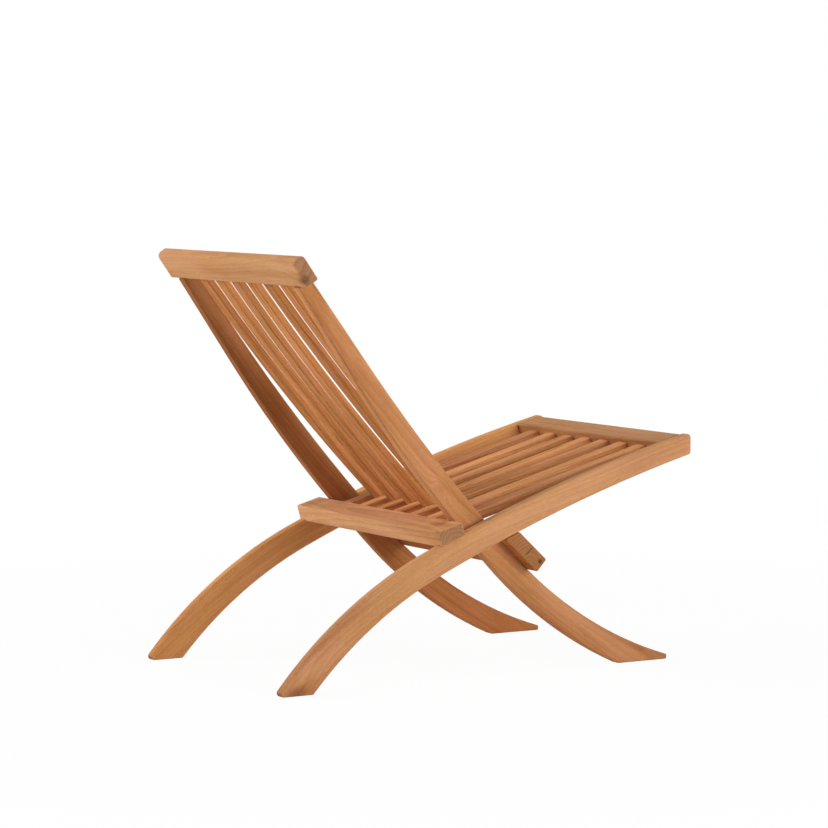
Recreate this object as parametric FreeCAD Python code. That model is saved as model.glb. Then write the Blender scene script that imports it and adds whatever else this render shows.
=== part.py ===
import FreeCAD, Part
import math
import os

# Folding garden chair of solid teak, without arms.
# Two frames cross like an X and turn on one pivot axis. The seat frame has two outer side
# rails that end in the rear legs. The back frame runs between them, and its two stiles end
# in the front legs. The slats of both frames lie between each other like combs.
# +X is the front of the seat, +Y the sitter's left, +Z up. Millimetres.
# The origin is on the floor, under the middle of the open chair.

Vector = FreeCAD.Vector

# Widths across the chair
overall_width = 560.0
rail_thickness = 20.0
side_gap = 12.0
stile_thickness = 22.5

# Side rail: its centre line through the pivot
pivot_height = 280.0
rail_slope = 22.0
rail_radius = 3650.0
seat_length = 502.0
knee_radius = 4500.0
knee_length = 120.0
rear_leg_radius = 867.0
rail_depth = 50.0
rail_taper = 1.08

# Back stile: its centre line through the pivot
stile_slope = 46.9
stile_radius = 3185.0
stile_curve_length = 420.0
stile_length = 626.0
shank_length = 67.0
front_leg_radius = 909.0
stile_depth = 50.5
stile_taper = 2.5
taper_end = 20.0

# Cross bars
top_bar_height = 58.0
top_bar_thickness = 28.0
top_bar_crown = 10.0
lower_bar_thickness = 31.5
lower_bar_turn = 4.0
lower_bar_reach = 135.0
lower_bar_drop = 50.0
lower_bar_inset = 0.8
rear_bar_width = 56.0
rear_bar_thickness = 33.5
rear_bar_rise = 27.3
front_bar_width = 55.0
front_bar_thickness = 30.0
front_bar_setback = 6.0

# Slats
seat_slat_count = 7
seat_slat_width = 30.0
seat_slat_thickness = 19.5
seat_slat_inset = 9.5
slat_edge_gap = 14.0
back_slat_width = 30.0
back_slat_thickness = 14.0
back_slat_radius = 4240.0
straighter_slat_radius = 5250.0
straighter_slat_count = 2
back_slat_head_shift = 1.6

# Joints of the frames
tenon_length = 18.0
tenon_thickness = 9.0
tenon_shoulder = 4.0
stile_tenon_length = 25.0
stile_tenon_thickness = 14.0
housing_depth = 18.0
joint_clearance = 0.1
bottom_clearance = 0.5
stop_gap = 0.4
dowel_radius = 4.0
dowel_length = 34.0
dowel_spacing = 24.0
rear_dowel_drop = 20.0
lower_dowel_shares = (0.3, 0.7)
front_dowel_reach = 13.0

# Pivot hardware, one set on each side
bolt_radius = 5.0
bolt_thread_radius = 4.0
bolt_head_radius = 9.0
bolt_head_height = 4.0
head_ease = 1.0
socket_across = 5.0
socket_depth = 2.4
running_clearance = 0.05
face_clearance = 0.2
insert_radius = 6.5
insert_length = 13.0
insert_bore_depth = 14.0
spacer_radius = 11.0

# Softened edges and corners
edge_round = 3.5
plank_ease = 2.2
end_ease = 1.5
slat_ease = 1.6
front_end_round = 8.0
front_end_under_round = 6.0
heel_round = 7.0
toe_round = 5.0
front_heel_round = 12.0
toe_height = 9.5
tip_round = 4.0

# How far a plank's blank reaches past the floor or past its other end before it is cut off
floor_margin = 15.0
end_margin = 20.0

rail_inner_y = overall_width / 2.0 - rail_thickness
stile_outer_y = rail_inner_y - side_gap
stile_inner_y = stile_outer_y - stile_thickness
back_slat_count = seat_slat_count - 1
slat_pitch = (2.0 * stile_inner_y - seat_slat_width - 2.0 * slat_edge_gap) / (seat_slat_count - 1)


# Plane geometry in X and Z

def walk(start, heading, arcs, distance):
    # A path of arcs, each (radius, length): a positive radius turns from X towards Z, 0 is straight.
    x, z = start
    angle = heading
    rest = distance
    for radius, length in arcs:
        step = min(rest, length)
        if radius == 0:
            x += step * math.cos(angle)
            z += step * math.sin(angle)
        else:
            turn = step / radius
            x += radius * (math.sin(angle + turn) - math.sin(angle))
            z += radius * (math.cos(angle) - math.cos(angle + turn))
            angle += turn
        rest -= step
        if rest <= 0:
            break
    return x, z, angle


def beside(x, z, angle, offset):
    # The point that lies offset to the left of a path's direction.
    return x - offset * math.sin(angle), z + offset * math.cos(angle)


def crossing(first, first_angle, second, second_angle):
    # Where two lines, each a point and a direction, meet.
    across = math.sin(second_angle - first_angle)
    gap_x = second[0] - first[0]
    gap_z = second[1] - first[1]
    along = (gap_x * math.sin(second_angle) - gap_z * math.cos(second_angle)) / across
    return first[0] + along * math.cos(first_angle), first[1] + along * math.sin(first_angle)


def arcs_beside(arcs, offset):
    # The arcs of an edge that runs beside a centre line, offset to its left.
    result = []
    for radius, length in arcs:
        share = 1.0 if radius == 0 else (radius - offset) / radius
        result.append((radius * share, length * share))
    return result


far = 2000.0
pivot = (0.0, pivot_height)
forward = math.radians(rail_slope)
upward = math.radians(180.0 - stile_slope)
rail_front_arcs = [(-rail_radius, far)]
rail_leg_arcs = [(knee_radius, knee_length), (rear_leg_radius, far)]
stile_back_arcs = [(-stile_radius, stile_curve_length), (0, far)]
stile_leg_arcs = [(0, shank_length), (front_leg_radius, far)]
taper_run = stile_curve_length - taper_end


def rail_edge(side, ahead):
    # Start, heading and arcs of a rail's upper edge, side 1, or lower edge, side -1.
    half = side * rail_depth / 2.0
    start = beside(pivot[0], pivot[1], forward, half)
    heading = forward - side * math.radians(rail_taper) / 2.0
    if ahead:
        return start, heading, arcs_beside(rail_front_arcs, half)
    return start, heading + math.pi, arcs_beside(rail_leg_arcs, -half)


def stile_edge(side, ahead):
    # The same for a stile's rear edge, side 1, or front edge, side -1. It tapers above the pivot.
    half = side * stile_depth / 2.0
    start = beside(pivot[0], pivot[1], upward, half)
    if not ahead:
        return start, upward + math.pi, arcs_beside(stile_leg_arcs, -half)
    turn = -taper_run / stile_radius - side * math.radians(stile_taper) / 2.0
    upper = [(-stile_radius, taper_end), (0, far)]
    return start, upward, [(taper_run / turn if turn else 0, taper_run)] + arcs_beside(upper, half)


def edge_point(edge, side, distance):
    # A point on a plank's edge, forwards or upwards of the pivot if distance is positive.
    start, heading, arcs = edge(side, distance >= 0)
    return walk(start, heading, arcs, abs(distance))


def search(edge, side, step, done):
    # Walks along an edge from the pivot in small steps to the first point that is done.
    distance = 0.0
    while abs(distance) < far and not done(edge_point(edge, side, distance)):
        distance += step
    return distance


fine_step = 0.05
coarse_step = 1.0
rail_leg = -search(rail_edge, 1, -coarse_step, lambda point: point[1] < -floor_margin)
stile_leg = -search(stile_edge, -1, -coarse_step, lambda point: point[1] < -floor_margin)
rail_front = walk(pivot, forward, rail_front_arcs, seat_length)[0]


# Solid shapes

def point3(point, y):
    return Vector(point[0], y, point[1])


def line(first, second, y):
    return Part.LineSegment(point3(first, y), point3(second, y)).toShape()


def prism(edges, thickness):
    # A closed outline in the plane of its edges, given its thickness towards +Y.
    outline = Part.Wire(Part.__sortEdges__(edges))
    return Part.Face(outline).extrude(Vector(0, thickness, 0))


def edge_curves(start, heading, arcs, distance, y):
    # The arcs of a path as edges in the plane at y, with the path's last point.
    curves = []
    done = 0.0
    for radius, length in arcs:
        part = min(length, distance - done)
        if part <= 0:
            break
        first, middle, last = [walk(start, heading, arcs, done + part * share) for share in (0, 0.5, 1)]
        if radius == 0:
            curves.append(line(first, last, y))
        else:
            curves.append(Part.Arc(point3(first, y), point3(middle, y), point3(last, y)).toShape())
        done += part
    return curves, last


def plank(edge, low, high, y, thickness):
    # A curved, tapered plank on edge, from low behind the pivot to high ahead of it.
    curves = []
    ends = []
    for side in (1, -1):
        for ahead, distance in ((False, -low), (True, high)):
            start, heading, arcs = edge(side, ahead)
            made, last = edge_curves(start, heading, arcs, distance, y)
            curves += made
            ends.append(last)
    curves += [line(ends[0], ends[2], y), line(ends[1], ends[3], y)]
    return prism(curves, thickness)


def polygon(points, y, thickness):
    wire = Part.makePolygon([point3(point, y) for point in points + points[:1]])
    return Part.Face(wire).extrude(Vector(0, thickness, 0))


def rounded(solid, radius, chosen):
    edges = [edge for edge in solid.Edges if not edge.Degenerated and chosen(edge)]
    return solid.makeFillet(radius, edges) if edges else solid


def runs_across(edge):
    # True for a straight edge parallel to Y.
    size = edge.BoundBox
    return size.XLength < 0.01 and size.ZLength < 0.01


def corner_rounded(plank_solid, point, radius):
    # Rounds the corner of a plank's outline that lies at a point.
    def chosen(edge):
        centre = edge.BoundBox.Center
        return runs_across(edge) and math.hypot(centre.x - point[0], centre.z - point[1]) < 1.0
    return rounded(plank_solid, radius, chosen)


def eased(solid, size, chosen):
    # Takes the sharpness off edges with a small bevel.
    edges = [edge for edge in solid.Edges if not edge.Degenerated and chosen(edge)]
    return solid.makeChamfer(size, edges)


def sides_eased(plank_solid):
    # Eases the whole outline of a plank on both of its flat faces.
    return eased(plank_solid, plank_ease, lambda edge: edge.BoundBox.YLength < 0.01)


def bar_of(low, high, radius):
    # A straight bar along Y with rounded long edges and eased ends.
    bar = rounded(box(low, high), radius, lambda edge: edge.BoundBox.YLength > 1.0)
    return eased(bar, end_ease, lambda edge: edge.BoundBox.YLength < 0.01)


def cylinder(radius, start, direction, length):
    return Part.makeCylinder(radius, length, start, direction)


def box(low, high):
    size = high - low
    return Part.makeBox(size.x, size.y, size.z, low)


def above_floor(solid):
    return solid.cut(box(Vector(-far, -far, -far), Vector(far, far, 0)))


def placed(solid, placement):
    moved = solid.copy()
    moved.Placement = placement.multiply(moved.Placement)
    return moved


# The plane of the seat: it holds the tops of the front and rear seat bars

bar_corner = search(stile_edge, 1, fine_step, lambda point: point[1] > pivot_height + rear_bar_rise)
seat_rear = edge_point(stile_edge, 1, bar_corner)
seat_rear = (seat_rear[0] - stop_gap, seat_rear[1])
seat_front = edge_point(rail_edge, 1, seat_length - front_bar_setback - front_bar_width / 2.0)
seat_slope = math.atan2(seat_front[1] - seat_rear[1], seat_front[0] - seat_rear[0])
seat_run = math.hypot(seat_front[0] - seat_rear[0], seat_front[1] - seat_rear[1])
seat_slat_length = seat_run - front_bar_width / 2.0
seat_turn = FreeCAD.Rotation(Vector(0, 1, 0), -math.degrees(seat_slope))
seat_place = FreeCAD.Placement(point3(seat_rear, 0), seat_turn)


def seat_slat_y(index):
    return (index - (seat_slat_count - 1) / 2.0) * slat_pitch


def back_slat_y(index):
    return (index - (back_slat_count - 1) / 2.0) * slat_pitch


def rail_low_y(side):
    return rail_inner_y if side > 0 else -overall_width / 2.0


def stile_low_y(side):
    return stile_inner_y if side > 0 else -stile_outer_y


# Seat frame

def seat_tenons(y, clearance):
    # The tenons at both ends of a seat slat, or with a clearance the mortises for them.
    middle = -seat_slat_inset - seat_slat_thickness / 2.0
    half_width = seat_slat_width / 2.0 - tenon_shoulder + clearance
    half_height = tenon_thickness / 2.0 + clearance
    reach = tenon_length + (bottom_clearance if clearance else 0.0)
    low = Vector(-reach, y - half_width, middle - half_height)
    high = Vector(seat_slat_length + reach, y + half_width, middle + half_height)
    return box(low, high)


def seat_slat(index):
    y = seat_slat_y(index)
    low = Vector(0, y - seat_slat_width / 2.0, -seat_slat_inset - seat_slat_thickness)
    high = Vector(seat_slat_length, y + seat_slat_width / 2.0, -seat_slat_inset)
    slat = eased(box(low, high), slat_ease, lambda edge: edge.BoundBox.XLength > 1.0)
    return placed(slat.fuse(seat_tenons(y, 0.0)), seat_place)


def mortised(bar):
    for index in range(seat_slat_count):
        bar = bar.cut(seat_tenons(seat_slat_y(index), joint_clearance))
    return placed(bar, seat_place)


def rear_bar():
    # It lies in notches over the rails, flush with their outer faces.
    half = overall_width / 2.0
    bar = mortised(bar_of(Vector(-rear_bar_width, -half, -rear_bar_thickness), Vector(0, half, 0), edge_round))
    for side in (-1, 1):
        bar = bar.cut(rail_blank(side))
    return bar


def front_bar():
    low = Vector(seat_slat_length, -rail_inner_y, -front_bar_thickness)
    high = Vector(seat_slat_length + front_bar_width, rail_inner_y, 0)
    return mortised(rounded(box(low, high), edge_round, lambda edge: edge.BoundBox.YLength > 1.0))


def rail_blank(side):
    # A rail before its edges are softened: the front end is cut upright.
    rail = plank(rail_edge, -rail_leg, seat_length + end_margin, rail_low_y(side), rail_thickness)
    waste = box(Vector(rail_front, -overall_width, 0), Vector(far, overall_width, far))
    return rail.cut(waste)


def side_rail(side):
    rail = above_floor(rail_blank(side))
    for edge_side, radius in ((1, front_end_round), (-1, front_end_under_round)):
        distance = search(rail_edge, edge_side, fine_step, lambda point: point[0] >= rail_front)
        rail = corner_rounded(rail, edge_point(rail_edge, edge_side, distance), radius)
    for edge_side, radius in ((1, heel_round), (-1, toe_round)):
        distance = search(rail_edge, edge_side, -fine_step, below_floor)
        rail = corner_rounded(rail, edge_point(rail_edge, edge_side, distance), radius)
    rail = sides_eased(rail)
    inner = Vector(pivot[0], side * rail_inner_y, pivot[1])
    bore = cylinder(insert_radius + running_clearance, inner, Vector(0, side, 0), insert_bore_depth)
    return rail.cut(bore)


def below_floor(point):
    return point[1] <= 0


# Back frame

def stile(side):
    low_y = stile_low_y(side)
    heel = edge_point(stile_edge, 1, search(stile_edge, 1, -fine_step, below_floor))
    tip = edge_point(stile_edge, -1, search(stile_edge, -1, -fine_step, at_toe))
    blank = above_floor(plank(stile_edge, -stile_leg, stile_length + end_margin, low_y, stile_thickness))
    waste = box(Vector(-stile_depth, -overall_width, 0), Vector(stile_depth, overall_width, stile_depth))
    blank = blank.cut(placed(waste, top_place))
    blank = blank.cut(box(Vector(tip[0], low_y, 0), Vector(far, low_y + stile_thickness, far)))
    blank = corner_rounded(blank, heel, front_heel_round)
    blank = corner_rounded(blank, tip, tip_round)
    blank = corner_rounded(blank, (tip[0], 0.0), tip_round)
    blank = eased(blank, plank_ease, lambda edge: edge.BoundBox.YLength < 0.01 and not at_tenon(edge))
    blank = blank.cut(lower_bar_blank(low_y, stile_thickness, joint_clearance))
    blank = blank.fuse(placed(stile_tenon(side, 0.0), top_place))
    start = Vector(pivot[0], -far, pivot[1])
    return blank.cut(cylinder(bolt_radius + running_clearance, start, Vector(0, 1, 0), 2.0 * far))


def at_toe(point):
    # Where the front foot is down to the height of its blunt end.
    return point[1] <= toe_height


def at_tenon(edge):
    # True for the edges of the end that carries the tenon.
    centre = edge.BoundBox.Center
    return math.hypot(centre.x - stile_top[0], centre.z - stile_top[1]) < 1.0


stile_top = walk(pivot, upward, stile_back_arcs, stile_length)
top_turn = FreeCAD.Rotation(Vector(0, 1, 0), 90.0 - math.degrees(stile_top[2]))
top_place = FreeCAD.Placement(point3(stile_top, 0), top_turn)


def stile_tenon(side, clearance):
    # In the top bar's own axes: X forwards, Z up the stile.
    half = stile_tenon_thickness / 2.0 + clearance
    low_y = stile_low_y(side) + tenon_shoulder - clearance
    high_y = stile_low_y(side) + stile_thickness - tenon_shoulder + clearance
    reach = stile_tenon_length + (bottom_clearance if clearance else 0.0)
    return box(Vector(-half, low_y, -joint_clearance), Vector(half, high_y, reach))


def top_bar():
    half = overall_width / 2.0
    thick = top_bar_thickness / 2.0

    def crown(edge):
        return edge.BoundBox.ZMin > top_bar_height - 0.1 and edge.BoundBox.YLength > 1.0
    bar = box(Vector(-thick, -half, 0), Vector(thick, half, top_bar_height))
    bar = rounded(bar, top_bar_crown, crown)
    bar = rounded(bar, edge_round, lambda edge: edge.BoundBox.ZMax < 0.01 and edge.BoundBox.YLength > 1.0)
    bar = eased(bar, end_ease, lambda edge: edge.BoundBox.YLength < 0.01)
    for side in (-1, 1):
        bar = bar.cut(stile_tenon(side, joint_clearance))
    return housed(placed(bar, top_place))


def housed(bar):
    for index in range(back_slat_count):
        bar = bar.cut(back_slat_blank(index, joint_clearance))
    return bar


# The lower bar's direction down the stile
bar_down = upward + math.pi + math.radians(lower_bar_turn)


def lower_bar_outline():
    # Its rear face lies on the stiles' front edges and its top under the side rails.
    # The bar turns a little with the bend of the legs, about the middle of its height.
    half_height = (lower_bar_reach - lower_bar_drop) / 2.0
    waist = walk(pivot, upward + math.pi, [(0, far)], lower_bar_drop + half_height)
    waist = beside(waist[0], waist[1], upward + math.pi, stile_depth / 2.0 - lower_bar_inset)
    rear = walk(waist, bar_down, [(0, far)], half_height)[:2]
    front = beside(rear[0], rear[1], bar_down, lower_bar_thickness)
    first = edge_point(rail_edge, -1, 0.0)
    second = edge_point(rail_edge, -1, 2.0 * stile_depth)
    slope = math.atan2(second[1] - first[1], second[0] - first[0])
    under = beside(first[0], first[1], slope, -stop_gap)
    return [crossing(under, slope, rear, bar_down), crossing(under, slope, front, bar_down), front, rear]


def lower_bar_blank(y, length, clearance):
    # The bar's outline, lengthened down the stile by a clearance.
    outline = lower_bar_outline()
    reach = (clearance * math.cos(bar_down), clearance * math.sin(bar_down))
    lower = [(point[0] + reach[0], point[1] + reach[1]) for point in outline[2:]]
    return polygon(outline[:2] + lower, y, length)


def lower_bar():
    bar = lower_bar_blank(-overall_width / 2.0, overall_width, 0.0)
    bar = rounded(bar, edge_round, lambda edge: edge.BoundBox.YLength > 1.0)
    return housed(eased(bar, end_ease, lambda edge: edge.BoundBox.YLength < 0.01))


def middle_of(first, second):
    return (first[0] + second[0]) / 2.0, (first[1] + second[1]) / 2.0


# The ends of the back slats: the lower bar's top face and the top bar's underside
slat_foot = middle_of(*lower_bar_outline()[:2])
slat_head = beside(*stile_top, -back_slat_head_shift)
slat_chord = math.hypot(slat_head[0] - slat_foot[0], slat_head[1] - slat_foot[1])
slat_lean = math.atan2(slat_head[1] - slat_foot[1], slat_head[0] - slat_foot[0])


def back_slat_blank(index, clearance):
    # A back slat with both ends let into the bars, or with a clearance the space for it.
    # The first slats on the right are bowed less than the others.
    radius = straighter_slat_radius if index < straighter_slat_count else back_slat_radius
    half_turn = math.asin(slat_chord / 2.0 / radius)
    heading = slat_lean + half_turn + math.pi
    y = back_slat_y(index)
    extra = housing_depth + (bottom_clearance if clearance else 0.0)
    half = back_slat_thickness / 2.0 + clearance
    low_y = y - back_slat_width / 2.0 - clearance
    x, z, angle = walk(slat_foot, heading, [(radius, far)], extra)
    angle -= math.pi
    curves = []
    ends = []
    for side in (1, -1):
        start = beside(x, z, angle, side * half)
        arcs = arcs_beside([(-radius, far)], side * half)
        length = 2.0 * (half_turn * radius + extra) * arcs[0][1] / far
        made, last = edge_curves(start, angle, arcs, length, low_y)
        curves += made
        ends.append((start, last))
    curves += [line(ends[0][0], ends[1][0], low_y), line(ends[0][1], ends[1][1], low_y)]
    return prism(curves, back_slat_width + 2.0 * clearance)


def back_slat(index):
    blank = back_slat_blank(index, 0.0)
    return eased(blank, slat_ease, lambda edge: edge.BoundBox.ZLength > slat_chord / 2.0)


# Dowels, which hold the bars to the planks and are hidden in both

def dowel(middle, direction, clearance):
    length = dowel_length + (2.0 * bottom_clearance if clearance else 0.0)
    return cylinder(dowel_radius + clearance, middle - direction * (length / 2.0), direction, length)


def rear_bar_dowels(clearance):
    # From the notches of the rear bar down into the rails.
    direction = seat_place.Rotation.multVec(Vector(0, 0, -1))
    result = []
    for side in (-1, 1):
        y = side * (rail_inner_y + rail_thickness / 2.0)
        middle = Vector(-rear_bar_width / 2.0, y, -rear_dowel_drop)
        result.append(dowel(seat_place.multVec(middle), direction, clearance))
    return result


def front_bar_dowels(clearance):
    # From the ends of the front bar into the rails.
    result = []
    for side in (-1, 1):
        for step in (-0.5, 0.5):
            x = seat_slat_length + front_bar_width / 2.0 + step * dowel_spacing
            y = side * (rail_inner_y + front_dowel_reach - dowel_length / 2.0)
            middle = Vector(x, y, -front_bar_thickness / 2.0)
            result.append(dowel(seat_place.multVec(middle), Vector(0, side, 0), clearance))
    return result


def lower_bar_dowels(clearance):
    # From the lower bar into the stiles' front edges.
    outline = lower_bar_outline()
    rear_top = outline[0]
    rear = outline[3]
    backward = Vector(-math.cos(upward - math.pi / 2.0), 0, -math.sin(upward - math.pi / 2.0))
    result = []
    for side in (-1, 1):
        for share in lower_dowel_shares:
            x = rear_top[0] + (rear[0] - rear_top[0]) * share
            z = rear_top[1] + (rear[1] - rear_top[1]) * share
            y = side * (stile_inner_y + stile_thickness / 2.0)
            result.append(dowel(Vector(x, y, z), backward, clearance))
    return result


def drilled(solid, dowels):
    for hole in dowels:
        solid = solid.cut(hole)
    return solid


# Pivot hardware

def pivot_insert(side):
    # A threaded bush in the rail's blind bore.
    inner = Vector(pivot[0], side * rail_inner_y, pivot[1])
    outward = Vector(0, side, 0)
    bush = cylinder(insert_radius, inner, outward, insert_length)
    return bush.cut(cylinder(bolt_thread_radius + running_clearance, inner, outward, insert_length))


def pivot_spacer(side):
    inner = Vector(pivot[0], side * rail_inner_y, pivot_height)
    inward = Vector(0, -side, 0)
    ring = cylinder(spacer_radius, inner, inward, side_gap - face_clearance)
    return ring.cut(cylinder(bolt_radius + running_clearance, inner, inward, side_gap))


def pivot_bolt(side):
    # A shoulder bolt from the stile's inner face into the rail's insert.
    outward = Vector(0, side, 0)
    head_start = Vector(pivot[0], side * (stile_inner_y - face_clearance - bolt_head_height), pivot_height)
    under_head = head_start + outward * bolt_head_height
    shank = stile_thickness + side_gap + face_clearance
    bolt = cylinder(bolt_head_radius, head_start, outward, bolt_head_height)
    bolt = eased(bolt, head_ease, lambda edge: abs(edge.BoundBox.Center.y - head_start.y) < 0.01)
    bolt = bolt.fuse(cylinder(bolt_radius, under_head, outward, shank))
    thread_start = under_head + outward * shank
    bolt = bolt.fuse(cylinder(bolt_thread_radius, thread_start, outward, insert_length - bottom_clearance))
    corner = socket_across / math.sqrt(3.0)
    corners = []
    for step in range(7):
        angle = math.radians(60.0 * step)
        corners.append(head_start + Vector(corner * math.cos(angle), 0, corner * math.sin(angle)))
    socket = Part.Face(Part.makePolygon(corners)).extrude(outward * socket_depth)
    return bolt.cut(socket)


def frames():
    # Every piece by its node's name, with the pivot at X = 0.
    pieces = {}
    for side, hand in ((1, "left"), (-1, "right")):
        rail_holes = rear_bar_dowels(joint_clearance) + front_bar_dowels(joint_clearance)
        pieces["seat_rail_" + hand] = drilled(side_rail(side), rail_holes)
        pieces["back_stile_" + hand] = drilled(stile(side), lower_bar_dowels(joint_clearance))
    pieces["seat_rear_bar"] = drilled(rear_bar(), rear_bar_dowels(joint_clearance))
    pieces["seat_front_bar"] = drilled(front_bar(), front_bar_dowels(joint_clearance))
    pieces["back_top_bar"] = top_bar()
    pieces["back_lower_bar"] = drilled(lower_bar(), lower_bar_dowels(joint_clearance))
    for index in range(seat_slat_count):
        pieces["seat_slat_" + str(index + 1)] = seat_slat(index)
    for index in range(back_slat_count):
        pieces["back_slat_" + str(index + 1)] = back_slat(index)
    pieces["pivot_inserts"] = Part.makeCompound([pivot_insert(side) for side in (1, -1)])
    pieces["pivot_spacers"] = Part.makeCompound([pivot_spacer(side) for side in (1, -1)])
    pieces["pivot_bolts"] = Part.makeCompound([pivot_bolt(side) for side in (1, -1)])
    pieces["rear_bar_dowels"] = Part.makeCompound(rear_bar_dowels(0.0))
    pieces["front_bar_dowels"] = Part.makeCompound(front_bar_dowels(0.0))
    pieces["lower_bar_dowels"] = Part.makeCompound(lower_bar_dowels(0.0))
    return pieces


def main():
    os.makedirs("parts", exist_ok=True)
    pieces = frames()
    size = Part.makeCompound(list(pieces.values())).optimalBoundingBox()
    middle = FreeCAD.Placement(Vector(-size.Center.x, 0, 0), FreeCAD.Rotation())
    for node, piece in pieces.items():
        placed(piece, middle).exportStep("parts/" + node + ".step")
    print("pivot at x", round(-size.Center.x, 3), "z", pivot_height)
    print("length", round(size.XLength, 1), "height", round(size.ZMax, 1))
    print("seat slope in degrees", round(math.degrees(seat_slope), 2))
    print("slat pitch", round(slat_pitch, 2))


main()
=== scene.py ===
# Folding teak chair: oiled wood, metal pivots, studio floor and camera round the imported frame.
import math
import random

import bpy
from mathutils import Euler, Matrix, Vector


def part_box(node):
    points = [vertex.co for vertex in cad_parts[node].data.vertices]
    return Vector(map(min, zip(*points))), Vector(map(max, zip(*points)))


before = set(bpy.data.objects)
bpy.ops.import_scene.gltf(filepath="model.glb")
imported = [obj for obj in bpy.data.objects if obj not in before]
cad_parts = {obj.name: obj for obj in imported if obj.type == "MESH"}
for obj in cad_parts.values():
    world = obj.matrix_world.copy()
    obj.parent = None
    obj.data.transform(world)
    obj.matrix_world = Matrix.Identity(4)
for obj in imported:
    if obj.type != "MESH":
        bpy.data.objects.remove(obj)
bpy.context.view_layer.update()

print("chair frame loaded, %d nodes" % len(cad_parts))


# small helpers for building shader nodes

def addStep(tree, kind, feeds=None, **settings):
    step = tree.nodes.new("ShaderNode" + kind)
    for key, value in settings.items():
        setattr(step, key, value)
    for key, value in (feeds or {}).items():
        if isinstance(value, bpy.types.NodeSocket):
            tree.links.new(value, step.inputs[key])
        else:
            step.inputs[key].default_value = value
    return step


def calc(tree, operation, first, second=0.0, third=0.0, clamp=False):
    step = addStep(tree, "Math", {0: first, 1: second, 2: third}, operation=operation, use_clamp=clamp)
    return step.outputs[0]


def times(tree, first, second):
    return calc(tree, "MULTIPLY", first, second)


def centred(tree, value):
    # a noise of 0 to 1 moved to lie about 0
    return calc(tree, "SUBTRACT", value, 0.5)


def layered(tree, shares, **layers):
    # the plain value, plus each layer times its share
    total = shares["plain"]
    for name, value in layers.items():
        total = calc(tree, "MULTIPLY_ADD", value, shares[name], total)
    return total


def vectorCalc(tree, operation, first, second=(0.0, 0.0, 0.0)):
    step = addStep(tree, "VectorMath", {0: first, 1: second}, operation=operation)
    isNumber = operation in ("LENGTH", "DISTANCE", "DOT_PRODUCT")
    return step.outputs["Value" if isNumber else "Vector"]


def axes(tree, vector):
    return addStep(tree, "SeparateXYZ", {0: vector}).outputs


def fade(tree, value, low, high):
    # 0 at low, 1 at high, soft between
    step = addStep(tree, "MapRange", {"Value": value, "From Min": low, "From Max": high},
                   interpolation_type="SMOOTHSTEP")
    return step.outputs["Result"]


def stretchedNoise(tree, spot, stretch, detail=2.0, output="Fac"):
    scaled = vectorCalc(tree, "MULTIPLY", spot, stretch)
    step = addStep(tree, "TexNoise", {"Vector": scaled, "Scale": 1.0, "Detail": detail, "Roughness": 0.55})
    return step.outputs[output]


def blendColours(tree, amount, first, second, mode="MIX"):
    # sockets 6 and 7 of a Mix node are its two colours
    step = addStep(tree, "Mix", data_type="RGBA", blend_type=mode)
    for socket, value in ((step.inputs[0], amount), (step.inputs[6], first), (step.inputs[7], second)):
        if isinstance(value, bpy.types.NodeSocket):
            tree.links.new(value, socket)
        else:
            socket.default_value = value
    return step.outputs[2]


def paint(red, green, blue):
    # an sRGB colour of 0 to 255 as Blender's linear one
    return tuple(((c / 255 + 0.055) / 1.055) ** 2.4 for c in (red, green, blue)) + (1.0,)


def shadeOf(tone, amount):
    return tuple(c * amount for c in tone[:3]) + (1.0,)


def freshMaterial(name):
    material = bpy.data.materials.new(name)
    material.use_nodes = True
    material.node_tree.nodes.clear()
    return material, material.node_tree


# the wood itself: growth rings round a pith line, fibres, pores, streaks and end grain
# a stretch is along the board, then across it twice; a band is where a mark starts and where it is full

grainLook = dict(
    waver=0.016,                        # metres that the rings wander along a board
    waverStretch=(1.9, 7.0, 7.0),
    runOut=0.035,                       # how fast the cut leaves a ring, which makes the pointed figure
    ringUneven=1.7,                     # rings by which the spacing may shift
    ringWave=0.37,
    lateSharp=2.2,                      # how suddenly a ring ends in its dark late wood
    lateEnd=0.93,
    streakStretch=(1.3, 34.0, 34.0),
    cloudStretch=(4.0, 14.0, 14.0),
    fibreStretch=(16.0, 620.0, 620.0),
    poreStretch=(75.0, 1500.0, 1500.0),
    poreBand=(0.60, 0.70),
    poreThin=1.15,                      # pores grow fainter from early to late wood
    poreColour=(92, 54, 32),
    poreDark=0.40,
    rayStretch=(120.0, 22.0, 260.0),
    rayBand=(0.56, 0.74),
    patchStretch=(8.0, 24.0, 24.0),     # broad patches that lean to rose or to gold
    patchBand=(0.36, 0.64),
    rosy=(1.03, 1.0, 1.09, 1.0),
    golden=(1.02, 1.02, 0.97, 1.0),
    edgeHighlight=0.6,                       # how far the painted edge highlight goes towards the light tone
)

# how much each layer adds to the brown, where 0 is the light tone and 1 the deep one
depthShares = dict(plain=0.30, ring=0.16, streaks=1.5, clouds=1.25, fibres=0.42, rays=-0.12, knot=0.45)

roughShares = dict(plain=0.63, lateWood=-0.07, fibres=0.22, pores=0.12, ends=0.20)
heightShares = dict(plain=0.5, lateWood=0.35, fibres=0.55, pores=-0.60, specks=-0.35)

knotLook = dict(
    squash=(0.5, 1.0, 1.0),             # a knot reaches twice as far along the board
    reach=-0.35,                        # how fast its pull on the rings dies out
    ringPull=2.6,
    darkFocus=3.0,                      # the brown round a knot lies closer than the rings it bends
    ragged=0.5,
    heartBand=(1.05, 0.45),
    colour=(84, 54, 40),
)

endLook = dict(
    band=(0.72, 0.94),                  # how squarely a face cuts the grain
    cover=0.8,
    ringDark=0.75,
    ringMix=0.55,
    ringColour=(84, 54, 38),
    speckStretch=(400.0, 900.0, 900.0),
    speckBand=(0.55, 0.68),
    speckDark=0.35,
    speckColour=(88, 56, 38),
)

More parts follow.
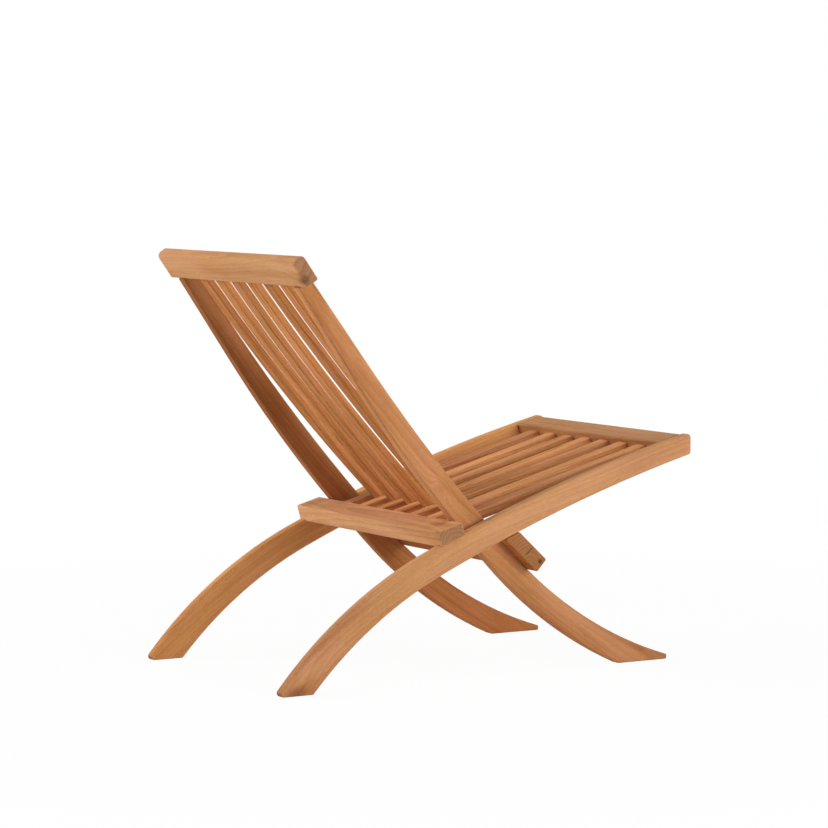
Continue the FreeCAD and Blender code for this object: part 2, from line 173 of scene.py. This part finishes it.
grainInputs = {
    "Vector": ("Turn", "Cut", "Bend", "Knot"),
    "Color": ("Light", "Deep", "Butt"),
    "Float": ("Ring gap", "Figure", "Knot size", "Knot dark", "Edge highlight", "Painted light slope"),
}
grainOutputs = {"Colour": "Color", "Roughness": "Float", "Height": "Float"}

# where in its log a board may come from: along it, and beside and above the pith
logLook = dict(along=(-3, 3), beside=(-0.06, 0.06), above=(0.02, 0.07))


def makeTeakGrain():
    tree = bpy.data.node_groups.new("teakGrain", "ShaderNodeTree")
    for kind, labels in grainInputs.items():
        for label in labels:
            tree.interface.new_socket(label, in_out="INPUT", socket_type="NodeSocket" + kind)
    for label, kind in grainOutputs.items():
        tree.interface.new_socket(label, in_out="OUTPUT", socket_type="NodeSocket" + kind)
    given = tree.nodes.new("NodeGroupInput").outputs
    look = grainLook

    # x runs along the board, y and z across it
    seen = addStep(tree, "TexCoord").outputs
    board = addStep(tree, "Mapping", {"Vector": seen["Object"], "Rotation": given["Turn"]},
                    vector_type="POINT").outputs[0]
    facing = addStep(tree, "Mapping", {"Vector": seen["Normal"], "Rotation": given["Turn"]},
                     vector_type="VECTOR").outputs[0]

    # the grain of a curved plank follows its curve part of the way, each side of the pivot by its own amount
    pivotAlong, bendAhead, bendBehind = axes(tree, given["Bend"])
    fromPivot = calc(tree, "SUBTRACT", axes(tree, board)[0], pivotAlong)
    ahead = calc(tree, "GREATER_THAN", fromPivot, 0.0)
    curve = calc(tree, "MULTIPLY_ADD", ahead, calc(tree, "SUBTRACT", bendAhead, bendBehind), bendBehind)
    lift = times(tree, curve, times(tree, fromPivot, fromPivot))
    straight = vectorCalc(tree, "ADD", board, addStep(tree, "CombineXYZ", {2: lift}).outputs[0])
    cut = vectorCalc(tree, "ADD", straight, given["Cut"])

    # rings: distance from the pith line, pushed about by slow noise and by the knot
    waver = stretchedNoise(tree, cut, look["waverStretch"], detail=1.5, output="Color")
    waver = vectorCalc(tree, "SUBTRACT", waver, (0.5, 0.5, 0.5))
    waver = vectorCalc(tree, "MULTIPLY", waver, (0.0, look["waver"] * 2, look["waver"] * 2))
    wandered = vectorCalc(tree, "ADD", cut, waver)
    knotAway = vectorCalc(tree, "DISTANCE", vectorCalc(tree, "MULTIPLY", board, knotLook["squash"]),
                          vectorCalc(tree, "MULTIPLY", given["Knot"], knotLook["squash"]))
    knotNear = calc(tree, "DIVIDE", knotAway, given["Knot size"])
    knotPull = calc(tree, "EXPONENT", times(tree, calc(tree, "POWER", knotNear, 2.0), knotLook["reach"]))
    fromPith = vectorCalc(tree, "LENGTH", vectorCalc(tree, "MULTIPLY", wandered, (0.0, 1.0, 1.0)))
    fromPith = calc(tree, "MULTIPLY_ADD", axes(tree, cut)[0], look["runOut"], fromPith)
    rings = calc(tree, "DIVIDE", fromPith, given["Ring gap"])
    rings = calc(tree, "MULTIPLY_ADD", knotPull, knotLook["ringPull"], rings)
    uneven = addStep(tree, "TexNoise", {"W": times(tree, rings, look["ringWave"]), "Scale": 1.0,
                                        "Detail": 1.0}, noise_dimensions="1D").outputs[0]
    rings = calc(tree, "MULTIPLY_ADD", uneven, look["ringUneven"], rings)
    inRing = calc(tree, "FRACT", rings)
    lateWood = times(tree, calc(tree, "POWER", inRing, look["lateSharp"]),
                     fade(tree, inRing, 1.0, look["lateEnd"]))
    ringTone = addStep(tree, "TexWhiteNoise", {"W": calc(tree, "FLOOR", rings)},
                       noise_dimensions="1D").outputs["Value"]

    # long streaks, soft clouds, fine fibres, pore dashes and the short ray flecks across them
    streaks = stretchedNoise(tree, wandered, look["streakStretch"], detail=3.0)
    clouds = stretchedNoise(tree, wandered, look["cloudStretch"])
    fibres = centred(tree, stretchedNoise(tree, wandered, look["fibreStretch"]))
    pores = fade(tree, stretchedNoise(tree, wandered, look["poreStretch"], detail=1.0), *look["poreBand"])
    pores = times(tree, pores, calc(tree, "SUBTRACT", look["poreThin"], inRing))
    rays = fade(tree, stretchedNoise(tree, cut, look["rayStretch"], detail=1.0), *look["rayBand"])

    shares = dict(depthShares, lateWood=given["Figure"])
    depth = layered(tree, shares, lateWood=lateWood, ring=centred(tree, ringTone),
                    streaks=centred(tree, streaks), clouds=centred(tree, clouds), fibres=fibres, rays=rays)
    knotBrown = calc(tree, "POWER", knotPull, knotLook["darkFocus"])
    depth = calc(tree, "MULTIPLY_ADD", knotBrown, depthShares["knot"], depth, clamp=True)
    colour = blendColours(tree, depth, given["Light"], given["Deep"])
    colour = blendColours(tree, times(tree, pores, look["poreDark"]), colour, paint(*look["poreColour"]))

    patches = fade(tree, stretchedNoise(tree, cut, look["patchStretch"]), *look["patchBand"])
    tint = blendColours(tree, patches, look["rosy"], look["golden"])
    colour = blendColours(tree, 1.0, colour, tint, "MULTIPLY")

    # painted light and shade along a board: it grows lighter from the pivot towards one end and darker
    # towards the other
    paintedLightSlope = calc(tree, "MULTIPLY_ADD", fromPivot, given["Painted light slope"], 1.0)
    paintedLightSlope = addStep(tree, "CombineXYZ", {0: paintedLightSlope, 1: paintedLightSlope, 2: paintedLightSlope}).outputs[0]
    colour = vectorCalc(tree, "MULTIPLY", colour, paintedLightSlope)

    # sawn ends drink more oil, so they are duller and show the rings as arcs
    ends = fade(tree, calc(tree, "ABSOLUTE", axes(tree, facing)[0]), *endLook["band"])
    ringBrown = blendColours(tree, endLook["ringMix"], given["Butt"], paint(*endLook["ringColour"]))
    endGrain = blendColours(tree, times(tree, lateWood, endLook["ringDark"]), given["Butt"], ringBrown)
    specks = stretchedNoise(tree, cut, endLook["speckStretch"], detail=1.0)
    specks = fade(tree, specks, *endLook["speckBand"])
    endGrain = blendColours(tree, times(tree, specks, endLook["speckDark"]), endGrain,
                            paint(*endLook["speckColour"]))
    colour = blendColours(tree, times(tree, ends, endLook["cover"]), colour, endGrain)
    # painted highlight: the rounded edges are lightened towards the light tone
    colour = blendColours(tree, times(tree, given["Edge highlight"], look["edgeHighlight"]), colour, given["Light"])
    knotHeart = calc(tree, "MULTIPLY_ADD", streaks, knotLook["ragged"], knotNear)
    knotHeart = fade(tree, knotHeart, *knotLook["heartBand"])
    colour = blendColours(tree, times(tree, knotHeart, given["Knot dark"]), colour,
                          paint(*knotLook["colour"]))

    rough = layered(tree, roughShares, lateWood=lateWood, fibres=fibres, pores=pores, ends=ends)
    height = layered(tree, heightShares, lateWood=lateWood, fibres=fibres, pores=pores,
                     specks=times(tree, specks, ends))

    out = tree.nodes.new("NodeGroupOutput").inputs
    for label, value in (("Colour", colour), ("Roughness", rough), ("Height", height)):
        tree.links.new(value, out[label])
    return tree


teakGrain = makeTeakGrain()
pivotLow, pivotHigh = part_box("pivot_bolts")
pivotSpot = (pivotLow + pivotHigh) / 2

splitLook = dict(waver=0.004, waverStretch=(350.0, 350.0, 350.0), core=0.35, dieOut=(0.56, 0.34),
                 fullTo=0.5, dark=0.85, colour=(66, 42, 30))


def dryingSplit(tree, colour, start, end, width, depth):
    # a thin dark line on a sawn end, from start to end, that wavers a little and dies out at both
    look = splitLook
    start, end = Vector(start), Vector(end)
    along = (end - start).normalized()
    beside = along.cross(Vector((0.0, 1.0, 0.0)))
    seen = addStep(tree, "TexCoord").outputs["Object"]
    fromStart = vectorCalc(tree, "SUBTRACT", seen, tuple(start))
    waver = centred(tree, stretchedNoise(tree, seen, look["waverStretch"]))
    aside = calc(tree, "MULTIPLY_ADD", waver, look["waver"],
                 vectorCalc(tree, "DOT_PRODUCT", fromStart, tuple(beside)))
    thin = fade(tree, calc(tree, "ABSOLUTE", aside), width, width * look["core"])
    way = vectorCalc(tree, "DOT_PRODUCT", fromStart, tuple(along / (end - start).length))
    between = fade(tree, calc(tree, "ABSOLUTE", centred(tree, way)), *look["dieOut"])
    inward = calc(tree, "ABSOLUTE", axes(tree, fromStart)[1])
    mark = times(tree, times(tree, thin, between), fade(tree, inward, depth, depth * look["fullTo"]))
    return blendColours(tree, times(tree, mark, look["dark"]), colour, paint(*look["colour"]))


woodFinish = dict(edgeRadius=0.0022, edgeHighlightBand=(0.995, 0.90), relief=0.45, reliefDepth=0.00025,
                  refraction=1.47)


def teakBoard(node, run, light, deep, ringGap, figure, seed, butt=(150, 112, 82), tone=1.0,
              pith=(0.05, 0.06), bend=(0.0, 0.0), knot=(0.0, 9.0, 0.0), knotSize=0.01, knotDark=0.7,
              split=None, paintedLightSlope=0.0, shine=0.03):
    # run is the way the grain goes, in degrees about Y, or "across" for a piece along Y
    # a board that names no knot has one too far away to show
    material, tree = freshMaterial("teak_" + node)
    if run == "across":
        turn = Euler((0.0, 0.0, -math.pi / 2))
    else:
        turn = Euler((0.0, math.radians(run), 0.0))
    toBoard = turn.to_matrix()
    low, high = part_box(node)
    middle = toBoard @ ((low + high) / 2)
    draw = random.Random(seed)
    values = {
        "Turn": tuple(turn),
        "Cut": (draw.uniform(*logLook["along"]), pith[0] - middle.y, pith[1] - middle.z),
        "Light": shadeOf(paint(*light), tone), "Deep": shadeOf(paint(*deep), tone),
        "Butt": shadeOf(paint(*butt), tone), "Ring gap": ringGap, "Figure": figure,
        "Bend": ((toBoard @ pivotSpot).x, *bend), "Knot": tuple(toBoard @ Vector(knot)),
        "Knot size": knotSize, "Knot dark": knotDark, "Painted light slope": paintedLightSlope,
    }
    grain = addStep(tree, "Group", node_tree=teakGrain)
    for label, value in values.items():
        grain.inputs[label].default_value = value

    # where the softened normal leaves the flat one, the edge gets a painted highlight towards the light tone
    softEdge = addStep(tree, "Bevel", {"Radius": woodFinish["edgeRadius"]}, samples=4).outputs[0]
    flat = addStep(tree, "NewGeometry").outputs["True Normal"]
    paintedEdgeHighlight = fade(tree, vectorCalc(tree, "DOT_PRODUCT", softEdge, flat), *woodFinish["edgeHighlightBand"])
    tree.links.new(paintedEdgeHighlight, grain.inputs["Edge highlight"])
    relief = addStep(tree, "Bump", {"Height": grain.outputs["Height"], "Normal": softEdge,
                                    "Strength": woodFinish["relief"],
                                    "Distance": woodFinish["reliefDepth"]}).outputs[0]
    colour = grain.outputs["Colour"]
    if split:
        colour = dryingSplit(tree, colour, **split)
    wood = addStep(tree, "BsdfPrincipled", {"Base Color": colour, "Roughness": grain.outputs["Roughness"],
                                            "Normal": relief, "IOR": woodFinish["refraction"],
                                            "Specular IOR Level": shine})
    addStep(tree, "OutputMaterial", {"Surface": wood.outputs[0]})
    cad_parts[node].material_slots[0].material = material


def looseBoards(name, tones, firstSeed, **look):
    # a row of slats, every one its own shade and its own place in the log
    for number, tone in enumerate(tones, start=1):
        seed = firstSeed + number
        draw = random.Random(seed)
        pith = (draw.uniform(*logLook["beside"]), draw.uniform(*logLook["above"]))
        teakBoard(name % number, tone=tone, seed=seed, pith=pith, **look)


# side rails: one plank each, from rear foot to seat front, sawn with the grain along the seat
railLook = dict(run=22, bend=(0.11, 0.32), ringGap=0.0085, figure=0.30)
railRight = dict(light=(216, 160, 111), deep=(177, 117, 71), pith=(0.07, 0.05), seed=11,
                 knot=(-0.4355, -0.28, 0.004), knotSize=0.022, knotDark=0.35)
# the left rail is painted lighter than the right one, as painted light on its inner face and leg
railLeftWithPaintedLight = dict(light=(243, 179, 115), deep=(197, 133, 75), pith=(0.05, 0.07), seed=12)
teakBoard("seat_rail_right", **railLook, **railRight)
teakBoard("seat_rail_left", **railLook, **railLeftWithPaintedLight)

# seat front and rear bars
seatBarLook = dict(run="across", ringGap=0.007, figure=0.40)
rearBar = dict(light=(229, 174, 126), deep=(182, 123, 80), butt=(168, 122, 86), pith=(0.004, 0.012), seed=21)
frontBar = dict(light=(198, 144, 92), deep=(152, 99, 58), pith=(0.05, 0.03), seed=22, shine=0.16)
teakBoard("seat_rear_bar", **seatBarLook, **rearBar)
teakBoard("seat_front_bar", **seatBarLook, **frontBar)

seatSlats = dict(run=16, light=(236, 169, 113), deep=(174, 109, 64), ringGap=0.0058, figure=0.50,
                 tones=(0.96, 1.04, 0.90, 1.06, 0.94, 1.02, 0.88), firstSeed=40)
looseBoards("seat_slat_%d", **seatSlats)
print("seat boards finished")

# back stiles and their front legs
stileLook = dict(run=-47, bend=(-0.30, -0.125), ringGap=0.0078, figure=0.34)
# the left stile is painted darker than the right one, as painted shade on its inner face; both carry painted
# light along their length, the left one lighter towards its foot and darker at the top, the right one the
# other way
stileRight = dict(light=(211, 150, 99), deep=(166, 103, 58), pith=(0.06, 0.05), seed=61, paintedLightSlope=-0.25,
                  knot=(-0.098, -0.243, 0.372), knotSize=0.007, knotDark=0.22)
stileLeftWithPaintedShade = dict(light=(189, 126, 77), deep=(149, 86, 43), pith=(0.05, 0.06), seed=62, paintedLightSlope=0.25)
teakBoard("back_stile_right", **stileLook, **stileRight)
teakBoard("back_stile_left", **stileLook, **stileLeftWithPaintedShade)

backSlats = dict(run=-48, light=(220, 152, 93), deep=(160, 96, 49), ringGap=0.0062, figure=0.50,
                 tones=(1.02, 0.93, 1.05, 0.90, 1.0, 0.96), firstSeed=70)
looseBoards("back_slat_%d", **backSlats)

# top bar, and the lower bar with the drying split and dark knot in its right end
backBarLook = dict(run="across", figure=0.34)
topBar = dict(light=(218, 165, 114), deep=(182, 123, 77), butt=(176, 127, 94), ringGap=0.011,
              pith=(0.03, 0.06), seed=81, knot=(-0.413, -0.28, 0.7795), knotSize=0.017, knotDark=0.55)
lowerBar = dict(light=(195, 124, 69), deep=(145, 82, 42), butt=(176, 122, 78), ringGap=0.0065,
                pith=(0.008, 0.03), seed=82, knot=(0.108, -0.28, 0.2205), knotSize=0.009, knotDark=0.85,
                split=dict(start=(0.0918, -0.28, 0.2493), end=(0.0748, -0.28, 0.2359), width=0.0014,
                           depth=0.004))
teakBoard("back_top_bar", **backBarLook, **topBar)
teakBoard("back_lower_bar", **backBarLook, **lowerBar)
print("back boards finished")

# hidden dowels in pale hardwood
dowelLook = dict(light=(214, 180, 134), deep=(186, 146, 100), butt=(190, 156, 112), ringGap=0.003, figure=0.2)
teakBoard("rear_bar_dowels", run=90, seed=91, **dowelLook)
teakBoard("front_bar_dowels", run="across", seed=92, **dowelLook)
teakBoard("lower_bar_dowels", run="across", seed=93, **dowelLook)

# metal of the pivots, turned on a lathe
metalLook = dict(ringScale=5200.0, ringRough=0.22, dullStretch=(160.0, 160.0, 160.0), dullTint=0.5,
                 dullShade=0.62, dullRough=0.18, edgeRadius=0.0006, relief=0.25, reliefDepth=0.0001)
pivotMetals = {
    "pivot_bolts": dict(colour=(196, 194, 188), roughness=0.34, seed=3),
    "pivot_spacers": dict(colour=(188, 187, 182), roughness=0.42, seed=4),
    "pivot_inserts": dict(colour=(206, 176, 104), roughness=0.38, seed=5),
}


def turnedMetal(node, colour, roughness, seed):
    # lathe rings about the pivot line, which runs along Y
    look = metalLook
    material, tree = freshMaterial("metal_" + node)
    low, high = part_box(node)
    middle = (low + high) / 2
    seen = addStep(tree, "TexCoord").outputs["Object"]
    fromPivot = vectorCalc(tree, "SUBTRACT", seen, (middle.x, 0.0, middle.z))
    radius = vectorCalc(tree, "LENGTH", vectorCalc(tree, "MULTIPLY", fromPivot, (1.0, 0.0, 1.0)))
    lines = addStep(tree, "CombineXYZ", {0: times(tree, radius, look["ringScale"]),
                                         1: times(tree, axes(tree, seen)[1], look["ringScale"]),
                                         2: float(seed)}).outputs[0]
    rings = addStep(tree, "TexNoise", {"Vector": lines, "Scale": 1.0, "Detail": 1.0}).outputs[0]
    dull = stretchedNoise(tree, seen, look["dullStretch"], detail=3.0)
    tint = blendColours(tree, times(tree, dull, look["dullTint"]), paint(*colour),
                        shadeOf(paint(*colour), look["dullShade"]))
    shares = dict(plain=roughness - look["ringRough"] / 2, rings=look["ringRough"], dull=look["dullRough"])
    rough = layered(tree, shares, rings=rings, dull=centred(tree, dull))
    softEdge = addStep(tree, "Bevel", {"Radius": look["edgeRadius"]}, samples=4).outputs[0]
    relief = addStep(tree, "Bump", {"Height": rings, "Normal": softEdge, "Strength": look["relief"],
                                    "Distance": look["reliefDepth"]}).outputs[0]
    metal = addStep(tree, "BsdfPrincipled", {"Base Color": tint, "Metallic": 1.0, "Roughness": rough,
                                             "Normal": relief})
    addStep(tree, "OutputMaterial", {"Surface": metal.outputs[0]})
    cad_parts[node].material_slots[0].material = material


for metalNode, metalValues in pivotMetals.items():
    turnedMetal(metalNode, **metalValues)
print("dowels and pivots finished")

# floor: white to the camera, with the chair's soft shadow kept
floorLook = dict(size=60.0, drop=0.0004, colour=0.95, whiteNear=0.96, nearTo=0.9, farFrom=2.2)
plainWhite = (1.0, 1.0, 1.0, 1.0)


def seenWhite(tree):
    # 1 for the camera and for what metal and glass show, 0 for the light that reaches the chair
    rays = addStep(tree, "LightPath").outputs
    shown = calc(tree, "MAXIMUM", rays["Is Camera Ray"], rays["Is Glossy Ray"])
    return calc(tree, "MAXIMUM", shown, rays["Is Transmission Ray"])


def makeFloor():
    look = floorLook
    half = look["size"] / 2
    corners = [(-half, -half, 0), (half, -half, 0), (half, half, 0), (-half, half, 0)]
    mesh = bpy.data.meshes.new("studioFloor")
    mesh.from_pydata(corners, [], [(0, 1, 2, 3)])
    floor = bpy.data.objects.new("studioFloor", mesh)
    bpy.context.scene.collection.objects.link(floor)
    floor.location.z = -look["drop"]
    material, tree = freshMaterial("studioFloorPaint")
    seen = addStep(tree, "TexCoord").outputs["Object"]
    away = fade(tree, vectorCalc(tree, "LENGTH", seen), look["nearTo"], look["farFrom"])
    white = calc(tree, "MULTIPLY_ADD", away, 1.0 - look["whiteNear"], look["whiteNear"])
    paintLayer = addStep(tree, "BsdfDiffuse", {"Color": (look["colour"],) * 3 + (1.0,)})
    glow = addStep(tree, "Emission", {"Color": plainWhite, "Strength": 1.0})
    both = addStep(tree, "MixShader", {0: times(tree, seenWhite(tree), white), 1: paintLayer.outputs[0],
                                       2: glow.outputs[0]})
    addStep(tree, "OutputMaterial", {"Surface": both.outputs[0]})
    mesh.materials.append(material)


# lights: two broad soft ones right of the camera, high and low, one behind the chair's far side, a weak
# one above; air is the even light from all round
studioLight = dict(
    air=0.04,
    aim=(0.0, 0.0, 0.40),
    boxes=dict(
        high=dict(spot=(2.5, -5.0, 2.5), size=2.6, watts=80.0),
        low=dict(spot=(1.5, -5.5, 1.0), size=2.6, watts=122.0),
        back=dict(spot=(-4.3, 2.6, 2.5), size=2.6, watts=208.0),
        top=dict(spot=(0.4, -0.8, 3.8), size=2.4, watts=50.0),
    ),
)


def makeBackdrop():
    world = bpy.data.worlds.new("studioAir")
    bpy.context.scene.world = world
    world.use_nodes = True
    tree = world.node_tree
    tree.nodes.clear()
    air = addStep(tree, "Background", {"Color": plainWhite, "Strength": studioLight["air"]})
    backdrop = addStep(tree, "Background", {"Color": plainWhite, "Strength": 1.0})
    both = addStep(tree, "MixShader", {0: seenWhite(tree), 1: air.outputs[0], 2: backdrop.outputs[0]})
    addStep(tree, "OutputWorld", {"Surface": both.outputs[0]})


def addSoftbox(name, spot, size, watts):
    lamp = bpy.data.lights.new(name, "AREA")
    lamp.shape = "SQUARE"
    lamp.size = size
    lamp.energy = watts
    holder = bpy.data.objects.new(name, lamp)
    holder.location = spot
    aim = Vector(studioLight["aim"]) - Vector(spot)
    holder.rotation_euler = aim.to_track_quat("-Z", "Y").to_euler()
    bpy.context.scene.collection.objects.link(holder)


makeFloor()
makeBackdrop()
for boxName, boxValues in studioLight["boxes"].items():
    addSoftbox(boxName + "Softbox", **boxValues)
print("studio built")

# camera: low, from behind the chair's near side, with a long lens
cameraLook = dict(spot=(-3.4836, -5.8200, 1.0334), forward=(0.51080, 0.85604, -0.07928), lens=148.265,
                  sensor=36.0, sight=200.0)
camera = bpy.data.cameras.new("photoCamera")
camera.lens = cameraLook["lens"]
camera.sensor_width = cameraLook["sensor"]
camera.clip_end = cameraLook["sight"]
cameraHolder = bpy.data.objects.new("photoCamera", camera)
cameraHolder.location = cameraLook["spot"]
cameraHolder.rotation_euler = Vector(cameraLook["forward"]).to_track_quat("-Z", "Y").to_euler()
bpy.context.scene.collection.objects.link(cameraHolder)
bpy.context.scene.camera = cameraHolder
bpy.context.scene.view_settings.view_transform = "Standard"

print("camera set")
